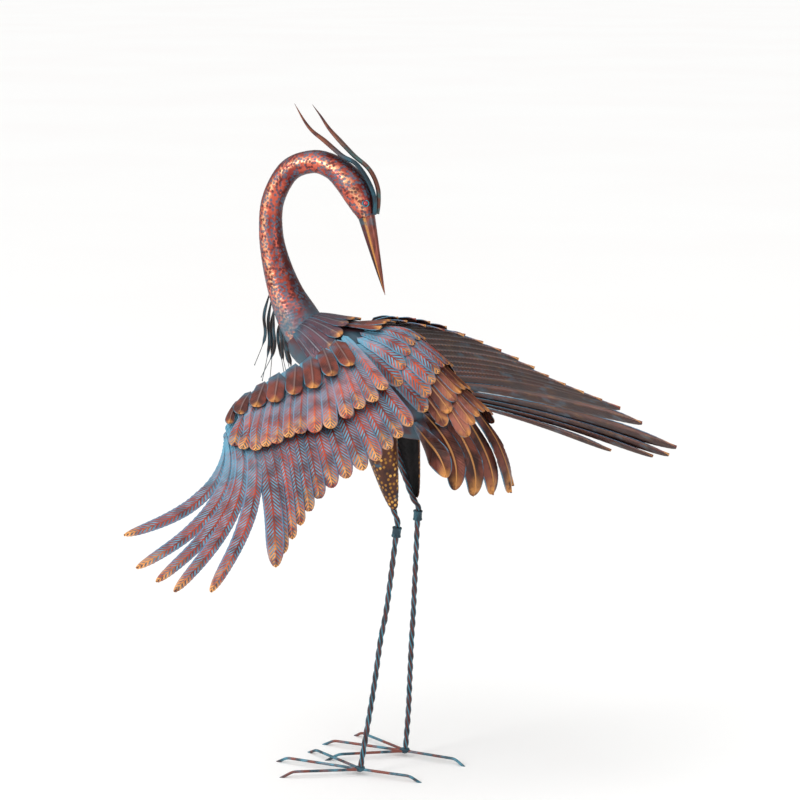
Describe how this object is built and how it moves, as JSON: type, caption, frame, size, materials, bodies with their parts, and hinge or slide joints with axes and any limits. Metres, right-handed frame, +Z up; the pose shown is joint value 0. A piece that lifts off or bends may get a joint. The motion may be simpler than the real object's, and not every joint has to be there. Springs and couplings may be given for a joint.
{
  "type": "heron garden statue",
  "caption": "Metal heron with half-open wings and a head turned back over its body, standing on two twisted-bar legs with wire toes; a garden ornament.",
  "frame": {"origin": "on the ground under the middle of the statue's box", "axes": "+Z up, the bird faces -X, its left wing reaches towards -Y"},
  "size_m": [0.5838, 0.8422, 0.9992],
  "materials": {
    "hammered_copper": "hammered sheet, painted copper pink with dark slate dimples",
    "patina_feathers": "chased sheet, copper and orange over blue patina, gold rubbed tips",
    "brown_tail": "chased sheet, dark brown with gold shaft lines",
    "bronze_beak": "smooth bronze brown with a gold crease",
    "dark_plumes": "dark teal black, rubbed along the edges",
    "patina_legs": "rust red faces with teal ridges",
    "mottled_thighs": "dark brown hammered sheet with gold mottling",
    "red_eyes": "gloss red"
  },
  "bodies": {
    "root": {"neck_and_head": "hammered_copper", "torso": "patina_feathers", "mantle_feathers": "patina_feathers", "shoulder_feathers": "patina_feathers", "back_feathers": "patina_feathers", "lower_back_feathers": "patina_feathers", "rump_feathers": "patina_feathers", "tail_coverts": "patina_feathers", "left_flight_feathers": "patina_feathers", "left_median_coverts": "patina_feathers", "left_lesser_coverts": "patina_feathers", "right_flight_feathers": "patina_feathers", "right_median_coverts": "patina_feathers", "right_lesser_coverts": "patina_feathers", "tail_feather_1": "brown_tail", "tail_feather_2": "brown_tail", "tail_feather_3": "brown_tail", "tail_feather_4": "brown_tail", "tail_feather_5": "brown_tail", "tail_feather_6": "brown_tail", "under_tail_feather_1": "brown_tail", "under_tail_feather_2": "brown_tail", "upper_beak": "bronze_beak", "lower_beak": "bronze_beak", "left_crest_plume": "dark_plumes", "right_crest_plume": "dark_plumes", "breast_plume_1": "dark_plumes", "breast_plume_2": "dark_plumes", "breast_plume_3": "dark_plumes", "breast_plume_4": "dark_plumes", "breast_plume_5": "dark_plumes", "breast_plume_6": "dark_plumes", "breast_plume_7": "dark_plumes", "breast_plume_8": "dark_plumes", "breast_plume_9": "dark_plumes", "left_upper_leg": "patina_legs", "left_lower_leg": "patina_legs", "left_knee_collar": "patina_legs", "left_middle_toe": "patina_legs", "left_inner_toe": "patina_legs", "left_outer_toe": "patina_legs", "right_upper_leg": "patina_legs", "right_lower_leg": "patina_legs", "right_knee_collar": "patina_legs", "right_middle_toe": "patina_legs", "right_inner_toe": "patina_legs", "right_outer_toe": "patina_legs", "left_thigh": "mottled_thighs", "right_thigh": "mottled_thighs", "left_eye": "red_eyes", "right_eye": "red_eyes"}
  },
  "joints": []
}
